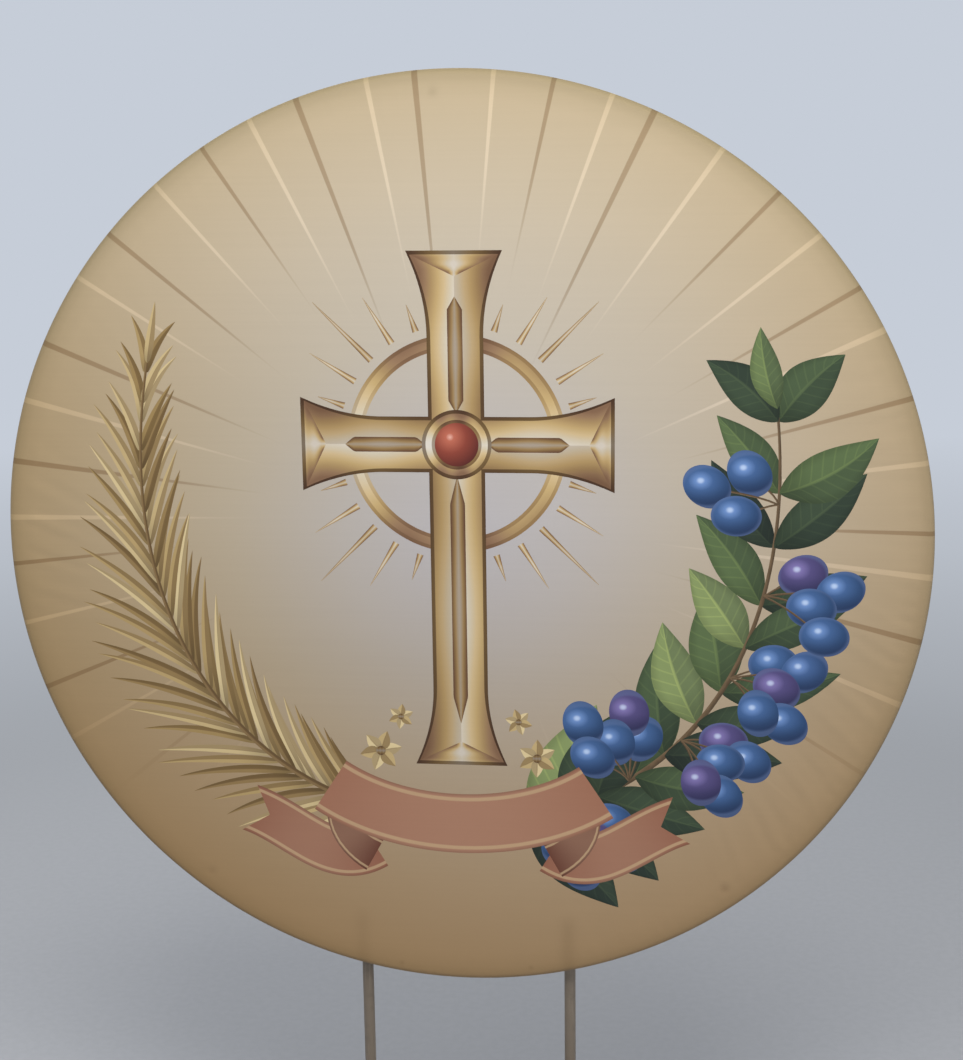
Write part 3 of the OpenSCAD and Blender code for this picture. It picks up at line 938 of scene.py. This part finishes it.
class Graph:
    """Short words for building the nodes of a material, or of the world."""

    def __init__(self, name, kind="materials"):
        self.owner = getattr(bpy.data, kind).new(name)
        self.owner.use_nodes = True
        self.tree = self.owner.node_tree
        self.tree.nodes.clear()

    def node(self, kind, inputs=(), **settings):
        """A node with its settings and inputs. Inputs are a list, or a dict of names or numbers."""
        node = self.tree.nodes.new("ShaderNode" + kind)
        for key, value in settings.items():
            setattr(node, key, value)
        for key, value in inputs.items() if isinstance(inputs, dict) else enumerate(inputs):
            if isinstance(value, Value):
                self.tree.links.new(value.socket, node.inputs[key])
            elif value is not None:
                node.inputs[key].default_value = value
        return node

    def value(self, kind, inputs=(), output=0, **settings):
        return Value(self, self.node(kind, inputs, **settings).outputs[output])

    def math(self, operation, a, b=None, c=None, clamp=False):
        return self.value("Math", [a, b, c], operation=operation, use_clamp=clamp)

    def length(self, x, y):
        return self.math("SQRT", x * x + y * y)

    def bell(self, x):
        """1 where x is 0, and less the larger x is."""
        return self.math("POWER", 2.718, x * -1.0)

    def step(self, x, low, high, a=0.0, b=1.0):
        """a at low and b at high, smooth between."""
        return self.value("MapRange", [x, low, high, a, b], interpolation_type="SMOOTHSTEP")

    def mix(self, share, a, b, how="MIX"):
        return self.value("Mix", {0: share, 6: a, 7: b}, 2, data_type="RGBA", blend_type=how)

    def times(self, colour, by):
        return self.mix(1.0, colour, by, "MULTIPLY")

    def shade(self, colour, x):
        """The colour times one number."""
        return self.times(colour, self.join(x, x, x))

    def tint(self, share, colour, *by):
        """The colour, with a share of it multiplied by three numbers."""
        return self.mix(share, colour, self.times(colour, factor(*by)))

    def ramp(self, x, *stops, colour=lin):
        """A ramp of stops, each a place and three numbers of a colour. The first is at 0."""
        node = self.node("ValToRGB", [x])
        elements = node.color_ramp.elements
        elements.remove(elements[1])
        for place, *numbers in stops:
            element = elements.new(place) if place else elements[0]
            element.color = colour(*numbers)
        return Value(self, node.outputs[0])

    def parts(self, vector):
        return [Value(self, out) for out in self.node("SeparateXYZ", [vector]).outputs]

    def join(self, x, y, z=0.0):
        return self.value("CombineXYZ", [x, y, z])

    def uv(self):
        """The print's two coordinates."""
        return self.parts(self.value("UVMap", uv_map="print"))[:2]

    def tone(self):
        return self.value("Attribute", output="Fac", attribute_name="tone")

    def place(self):
        return self.value("TexCoord", output="Object")

    def noise(self, vector, scale, detail=2.0, rough=0.5):
        return self.value("TexNoise", {"Vector": vector, "Scale": scale, "Detail": detail,
                                       "Roughness": rough})

    def bump(self, height, strength, distance):
        return self.value("Bump", {"Strength": strength, "Distance": distance, "Height": height})

    def finish(self, colour, roughness, normal, metallic=0.0, sheen=0.0, specular=0.5):
        shader = self.value("BsdfPrincipled", {
            "Base Color": colour, "Roughness": roughness, "Metallic": metallic, "Normal": normal,
            "Sheen Weight": sheen, "Sheen Roughness": 0.5, "Specular IOR Level": specular})
        self.node("OutputMaterial", [shader])
        return self.owner


# ---------- the print's inks ----------

def spot(g, u, v, place, size):
    """A soft round spot: 1 in its middle and 0 far from it."""
    du = (u - place[0]) / size
    dv = (v - place[1]) / size
    return g.bell(du * du + dv * dv)


def beams(g, u, v, r):
    """Thin beams that widen towards the rim: (mask of the light ones, mask of the dark ones)."""
    count = 46
    dv = v - (CROSSING[1] - 0.12)           # from the point where all beams meet
    turn = g.math("ARCTAN2", u, dv) * (count / (2 * pi))
    sector = g.math("FLOOR", turn)
    # every sector has one beam, at a place and with a start of its own
    chance = g.value("TexWhiteNoise", {"W": (sector + (0.5 + count)) % count}, noise_dimensions="1D")
    away = turn - sector - g.math("MULTIPLY_ADD", chance, 0.4, 0.3)
    aside = abs(away) * (g.length(u, dv) * (2 * pi / count))
    start = g.math("MULTIPLY_ADD", chance, 0.16, 0.16)
    half = (r - start) * 0.0098
    inside = g.math("DIVIDE", half - aside, 1.2 * MM, clamp=True)
    beam = inside * g.step(r, start + 0.10, start + 0.34) * g.step(v, -0.46, -0.16)
    dark = g.math("GREATER_THAN", (sector + (count + 0.5)) % 2.0, 1.0)
    return beam * (1.0 - dark), beam * dark


def painted_shade_marks(g, base, u, v, r):
    """Painted shade on the ground: soft darker places over the tube, the screws and the uprights' ends
    behind the cloth, on the rim's upper edge and in two small folds.
    """
    # painted shade over the tube behind the cloth, and on the rim's upper edge
    base = g.tint(g.step(r, HOOP_R - 16 * MM, HOOP_R + 4 * MM) * 0.35, base, 0.72, 0.72, 0.66)
    rim_top_shade = g.step(r, HOOP_R - 2 * MM, HOOP_R + 9 * MM) * g.step(v, 0.0, 0.55)
    base = g.tint(rim_top_shade, base, 0.76, 0.76, 0.70)
    # painted shade in the thumbscrews' dimples, and in two small folds at the rim between the uprights
    painted_shade_tint = (0.60, 0.57, 0.54)
    for node, _, dark in DIMPLES:
        base = g.tint(spot(g, u, v, disc_place(node), 7 * MM) * dark, base, *painted_shade_tint)
    for x in (-0.62 * PLATE_X, 0.64 * PLATE_X):
        fold = spot(g, u, v, (x, -sqrt((HOOP_R - 8 * MM) ** 2 - x * x)), 4 * MM)
        base = g.tint(fold * 0.30, base, *painted_shade_tint)
    # painted shadow of the uprights' ends behind the cloth, stronger on the right
    side = (abs(u) - PLATE_X) / (13 * MM)
    upright_shadow = g.bell(side * side) * (1.0 - g.step(v, -0.655, -0.615))
    return g.tint(upright_shadow * g.step(u, -0.1, 0.1, 0.26, 0.38), base, 0.72, 0.70, 0.66)


def ground_ink(g):
    """Warm beige, paler and cooler in the middle, with thin beams, under painted light and painted shade.
    """
    u, v = g.uv()
    r = g.length(u, v)
    # the print's gradient out to the rim; its darkest last stops are partly the print and partly painted
    # shade over the tube and the hem behind the cloth
    base = g.ramp(r / 0.80, (0.0, 186, 183, 188), (0.22, 187, 181, 178), (0.46, 187, 175, 158),
                  (0.72, 183, 165, 139), (0.88, 177, 156, 125), (0.915, 170, 149, 117),
                  (1.0, 156, 136, 104))
    # painted shade, browner, low on the left, and painted light, paler and cooler, at the top
    left = g.step(u, -0.75, 0.45, 1.0, 0.0) * g.step(v, 0.10, 0.55, 1.0, 0.0)
    base = g.tint(left, base, 0.95, 0.91, 0.81)
    base = g.tint(g.step(v, 0.15, 0.70), base, 1.09, 1.13, 1.19)
    # darker and warmer towards the bottom, a little lighter at the top: partly the print's gradient,
    # partly painted shade low down and painted light at the top
    rise = g.ramp(g.step(v, -0.75, 0.75), (0.0, 0.80, 0.70, 0.60), (0.30, 0.88, 0.84, 0.78),
                  (0.55, 1.0, 1.0, 1.0), (1.0, 1.10, 1.12, 1.12), colour=factor)
    base = g.times(base, rise)
    light, dark = beams(g, u, v, r)
    base = g.tint(light * 0.60, base, 1.42, 1.42, 1.46)
    base = g.tint(dark * 0.85, base, 0.66, 0.58, 0.50)
    return painted_shade_marks(g, base, u, v, r)


def leaf_ink(g):
    s, t = g.uv()
    base = g.ramp(g.tone(), (0.0, 46, 58, 50), (0.35, 62, 78, 58), (0.65, 88, 106, 70),
                  (1.0, 148, 162, 108))
    base = g.times(base, g.ramp(g.step(t, -0.10, 0.10), (0.0, 0.74, 0.76, 0.80),
                                (1.0, 1.14, 1.14, 1.05), colour=factor))
    across = abs(t)
    vein = 1.0 - g.step(across, 0.03, 0.09)
    away = abs(g.math("FRACT", s * 9.0 - across * 1.3) - 0.5)
    rib = (1.0 - g.step(away, 0.03, 0.12)) * 0.35
    base = g.tint(g.math("MAXIMUM", vein * 0.75, rib), base, 1.7, 1.6, 1.35)
    return g.shade(base, g.step(s, 0.0, 0.42, 0.62, 1.0) * g.step(across, 0.55, 1.0, 1.0, 0.78))


def twig_ink(g):
    s, t = g.uv()
    grain = g.noise(g.join(s * 60.0, t), 1.0, 3.0)
    base = g.mix(grain, lin(74, 58, 42), lin(116, 95, 70))
    return g.shade(base, g.step(t, -1.0, 1.0, 0.7, 1.35))


def fruit_ink(g):
    x, y = g.uv()
    d = g.length(x + 0.25, y - 0.30)
    blue = g.ramp(d / 1.4, (0.0, 150, 180, 226), (0.10, 112, 146, 200), (0.35, 66, 98, 146),
                  (0.70, 46, 74, 114), (1.0, 36, 56, 92))
    violet = g.ramp(d / 1.4, (0.0, 170, 160, 206), (0.12, 128, 116, 172), (0.40, 84, 76, 124),
                    (1.0, 50, 46, 84))
    base = g.mix(g.step(g.tone(), 0.45, 0.75), blue, violet)
    edge = g.step(g.length(x, y), 0.82, 1.0)
    base = g.mix(edge * 0.30, base, lin(110, 130, 172))
    glint = 1.0 - g.step(d, 0.05, 0.20)
    base = g.mix(glint * 0.55, base, lin(206, 222, 246))
    foot = g.step(y, -0.95, 0.05, 0.45, 0.0) * (1.0 - edge)
    return g.mix(foot, base, lin(26, 38, 70))


def palm_ink(g):
    s, t = g.uv()
    base = g.ramp(g.tone(), (0.0, 122, 98, 66), (0.35, 150, 125, 80), (0.7, 178, 153, 106),
                  (1.0, 208, 188, 144))
    base = g.times(base, g.ramp(g.step(t, -0.25, 0.25), (0.0, 0.66, 0.62, 0.58),
                                (1.0, 1.12, 1.12, 1.10), colour=factor))
    rib = 1.0 - g.step(abs(t), 0.04, 0.16)
    base = g.mix(rib * 0.5, base, lin(112, 84, 52))
    return g.shade(base, g.step(s, 0.0, 0.35, 0.68, 1.0))


def gold_ink(g):
    """Printed metal: warm at the edges and silvery in the middle, with soft bands along it."""
    s, t = g.uv()
    edge = abs(t) + g.math("SINE", s * 9.0) * 0.10
    base = g.ramp(g.math("SUBTRACT", 1.0, edge, clamp=True), (0.0, 128, 98, 76), (0.14, 146, 117, 90),
                  (0.30, 166, 139, 98), (0.48, 190, 164, 116), (0.64, 204, 182, 142),
                  (0.82, 206, 196, 176), (1.0, 214, 208, 200))
    light = g.ramp(g.tone(), (0.0, 0.30, 0.25, 0.20), (0.25, 0.58, 0.50, 0.42), (0.5, 0.86, 0.80, 0.72),
                   (1.0, 1.12, 1.10, 1.05), colour=factor)
    return g.times(base, light)


def ribbon_ink(g):
    s, t = g.uv()
    base = g.ramp(g.tone(), (0.0, 104, 62, 48), (0.45, 146, 96, 75), (1.0, 164, 116, 92))
    shine = g.math("SINE", s * pi)
    base = g.mix(shine * 0.35, base, lin(184, 146, 120))
    across = abs(t)
    hem = g.step(across, 0.74, 0.78) * (1.0 - g.step(across, 0.86, 0.90))
    base = g.mix(hem * 0.7, base, lin(196, 166, 128))
    return g.shade(base, g.step(across, 0.88, 1.0, 1.0, 0.75))


def gem_ink(g):
    x, y = g.uv()
    d = g.length(x + 0.3, y - 0.35)
    return g.ramp(d / 1.5, (0.0, 232, 176, 158), (0.12, 190, 106, 84), (0.5, 140, 66, 52),
                  (1.0, 84, 36, 32))


INK = {"ground": ground_ink, "leaf": leaf_ink, "twig": twig_ink, "fruit": fruit_ink, "palm": palm_ink,
       "gold": gold_ink, "ribbon": ribbon_ink, "gem": gem_ink}
INKS = list(INK)


# ---------- materials ----------

def knit(g):
    """Fine knit with faint ribs across the cloth: (height, brightness)."""
    place = g.place()
    x, _, z = g.parts(place)
    streak = g.noise(g.join(x * 2.0, 0.0, z * 190.0), 1.0, 2.0)
    height = streak * 0.6 + g.noise(place, 1100.0, 1.0) * 0.4
    return height, g.step(streak, 0.25, 0.75, 0.990, 1.008)


def ink_material(ink, reverse):
    """One ink of the print. The reverse is what strikes through to the cloth's pale wrong side."""
    g = Graph("print_" + ink + ("_reverse" if reverse else ""))
    colour = INK[ink](g)
    if reverse:
        colour = g.mix(0.80, colour, lin(212, 208, 200))
    height, bright = knit(g)
    colour = g.shade(colour, bright)
    return g.finish(colour, 0.82, g.bump(height, 0.25, 0.25 * MM), sheen=0.10, specular=0.25)


def elastic_material():
    g = Graph("elastic_woven")
    place = g.place()
    x, _, z = g.parts(place)
    rib = g.math("SINE", g.math("ARCTAN2", x, z - HOOP_Z) * 5200.0)
    height = rib + g.noise(place, 800.0)
    # lighter on the ribs and darker between them: painted shade in the grooves
    colour = g.mix(g.step(rib, -1.0, 1.0), lin(214, 212, 206), lin(240, 239, 235))
    return g.finish(colour, 0.85, g.bump(height, 0.5, 0.2 * MM), specular=0.2)


def thread_material():
    g = Graph("sewing_thread")
    colour = g.mix(g.noise(g.place(), 900.0), lin(186, 168, 140), lin(214, 198, 170))
    return g.finish(colour, 0.7, g.bump(g.noise(g.place(), 2500.0), 0.4, 0.1 * MM), specular=0.3)


def paint_material(name, along=2):
    """Satin champagne powder coat, darkened by painted shade, with orange peel, dust and rubs that run
    along one axis.
    """
    g = Graph(name)
    place = g.place()
    cloud = g.noise(place, 6.0, 4.0, 0.6)
    # base colours darker than the coat's own colour: painted shade, as if the uprights stood in the
    # panel's shadow
    base = g.mix(g.step(cloud, 0.3, 0.7), lin(113, 101, 87), lin(123, 111, 96))
    scale = [9.0 if axis == along else 260.0 for axis in range(3)]
    streaks = g.join(*(c * k for c, k in zip(g.parts(place), scale)))
    worn = g.step(g.noise(streaks, 1.0, 3.0, 0.6), 0.55, 0.70)
    base = g.mix(worn * 0.45, base, lin(152, 140, 125))
    dust = g.step(g.noise(place, 45.0, 5.0, 0.7), 0.50, 0.72)
    base = g.mix(dust * 0.28, base, lin(84, 76, 66))
    rough = g.step(cloud, 0.3, 0.7, 0.40, 0.48) + worn * -0.06
    height = g.noise(place, 420.0) + g.noise(place, 1600.0, 1.0) * 0.3
    return g.finish(base, rough, g.bump(height, 0.40, 0.15 * MM))


def zinc_material(name):
    g = Graph(name)
    place = g.place()
    cloud = g.noise(place, 120.0, 4.0, 0.6)
    base = g.mix(g.step(cloud, 0.3, 0.7), lin(192, 192, 190), lin(214, 214, 218))
    tarnish = g.step(g.noise(place, 35.0, 5.0, 0.7), 0.58, 0.75)
    base = g.mix(tarnish * 0.35, base, lin(176, 168, 146))
    rough = g.step(cloud, 0.2, 0.8, 0.26, 0.40)
    return g.finish(base, rough, g.bump(g.noise(place, 1500.0, 3.0), 0.15, 0.05 * MM), metallic=1.0)


def plastic_material(name, tint):
    g = Graph(name)
    place = g.place()
    spark = g.noise(place, 1400.0, 3.0, 0.7)
    cloud = g.noise(place, 40.0, 4.0, 0.6)
    base = g.mix(g.step(cloud, 0.35, 0.7), tint, lin(44, 44, 46))
    scuff = g.step(g.noise(place, 150.0, 6.0, 0.75), 0.64, 0.74)
    base = g.mix(scuff * 0.4, base, lin(84, 84, 86))
    rough = g.step(spark, 0.3, 0.7, 0.42, 0.58)
    return g.finish(base, rough, g.bump(spark, 0.25, 0.12 * MM), specular=0.45)


def rubber_material():
    g = Graph("pad_rubber")
    place = g.place()
    dust = g.step(g.noise(place, 60.0, 5.0, 0.7), 0.45, 0.75)
    base = g.mix(dust * 0.45, lin(32, 32, 33), lin(98, 94, 88))
    return g.finish(base, 0.86, g.bump(g.noise(place, 700.0, 4.0, 0.7), 0.4, 0.2 * MM), specular=0.3)


def dress_nodes():
    """Gives every CAD node that still shows the finish of its slot in the record."""
    finishes = {
        "hoop_paint": paint_material("hoop_paint"),
        "stand_paint": paint_material("stand_paint"),
        "zinc": zinc_material("zinc_plate"),
        "knob_plastic": plastic_material("knob_plastic", lin(30, 30, 32)),
        "plug_plastic": plastic_material("plug_plastic", lin(34, 34, 36)),
        "pad_rubber": rubber_material(),
    }
    # tubes that lie down, with rubs along their own axis
    feet = paint_material("stand_paint_feet", 1)
    lying = {
        "foot_tube_left": feet,
        "foot_tube_right": feet,
        "crossbar": paint_material("stand_paint_crossbar", 0),
    }
    for part in frame["record"]["subparts"]:
        obj = frame["nodes"][part["node"]]
        finish = lying.get(part["node"], finishes.get(part["material_slot"]))
        if finish:
            obj.data.materials.clear()
            obj.data.materials.append(finish)


# ---------- stage, light and camera ----------

BACKDROP = (198, 205, 216)
AMBIENT = 0.42
FLOOR_R = 9.0


def floor_material():
    """Grey near the stand, and from there a glow in the backdrop's colour, with painted shade that darkens
    it towards the stand.
    """
    g = Graph("studio_floor")
    place = g.place()
    x, y, _ = g.parts(place)
    far = g.length(x, y)
    speck = g.step(g.noise(place, 60.0, 4.0), 0.3, 0.7)
    near = g.value("BsdfDiffuse", [g.mix(speck, lin(172, 174, 178), lin(175, 177, 181))])
    # the glow is darker nearer the stand: painted shade
    away = g.value("Emission", [g.ramp(far / FLOOR_R, (0.0, 142, 145, 149), (0.30, 158, 162, 168),
                                       (0.60, 183, 189, 198), (0.95, *BACKDROP))])
    g.node("OutputMaterial", [g.value("MixShader", [g.step(far, 1.1, 3.6), near, away])])
    return g.owner


def build_floor():
    """A pale floor that keeps the shadow near the stand and fades into the background."""
    rings, sides = 24, 96
    verts = [(0, 0, 0)]
    for k in range(1, rings + 1):
        r = FLOOR_R * (k / rings) ** 1.5
        verts += [(r * cos(t), r * sin(t), 0) for t in angles(sides)]
    faces = [(0, 1 + i, 1 + (i + 1) % sides) for i in range(sides)]
    for k in range(rings - 1):
        a, b = 1 + k * sides, 1 + (k + 1) * sides
        for i in range(sides):
            n = (i + 1) % sides
            faces.append((a + i, b + i, b + n, a + n))
    obj = new_object("studio_floor", verts, faces, None, floor_material())


def build_world():
    """The backdrop's colour for the camera, and a softer light for everything else."""
    g = Graph("studio", "worlds")
    bpy.context.scene.world = g.owner
    seen = g.value("Background", [lin(*BACKDROP)])
    soft = g.value("Background", [lin(214, 218, 226), AMBIENT])
    by_camera = g.value("LightPath", output="Is Camera Ray")
    g.node("OutputWorld", [g.value("MixShader", [by_camera, soft, seen])])


def lamp(name, place, aim, size, watts, colour):
    data = bpy.data.lights.new(name, "AREA")
    data.shape = "RECTANGLE"
    data.size, data.size_y = size
    data.energy = watts
    data.color = colour
    obj = bpy.data.objects.new(name, data)
    bpy.context.scene.collection.objects.link(obj)
    obj.location = place
    obj.rotation_mode = "QUATERNION"
    obj.rotation_quaternion = (Vector(aim) - Vector(place)).to_track_quat("-Z", "Y")
    obj.visible_camera = False


def build_light():
    lamp("key", (0.5, -2.3, 4.3), (0, 0, 1.1), (2.6, 1.8), 124, (1.0, 0.985, 0.96))
    lamp("fill", (1.9, -3.9, 1.7), (0, 0, 1.1), (2.8, 2.2), 42, (0.97, 0.985, 1.0))
    lamp("back", (-1.2, 3.2, 3.2), (0, 0, 1.0), (2.4, 1.8), 75, (0.98, 0.99, 1.0))
    lamp("side", (-4.0, 0.6, 2.4), (0, 0, 1.0), (1.8, 1.8), 26, (1.0, 1.0, 1.0))


def build_camera():
    """The photograph's camera, fitted to the disc and the uprights."""
    data = bpy.data.cameras.new("photo_camera")
    data.sensor_fit = "AUTO"
    data.sensor_width = 36
    data.lens = 61.13
    obj = bpy.data.objects.new("photo_camera", data)
    bpy.context.scene.collection.objects.link(obj)
    yaw, pitch, roll = (radians(a) for a in (6.97, 12.41, -0.79))
    obj.matrix_world = (Matrix.Translation((0.380, FRONT_Y - 2.797, HOOP_Z + 0.652))
                        @ Matrix.Rotation(yaw, 4, "Z") @ Matrix.Rotation(pi / 2 - pitch, 4, "X")
                        @ Matrix.Rotation(roll, 4, "Z"))
    bpy.context.scene.camera = obj


def main():
    """Everything that the scene adds to the frame."""
    bpy.context.scene.view_settings.view_transform = "Standard"
    cloth = build_cover()
    stitches = build_stitches()
    elastic = build_elastic()
    build_welds()
    build_threads()
    dress_nodes()
    build_floor()
    build_world()
    build_light()
    build_camera()


main()
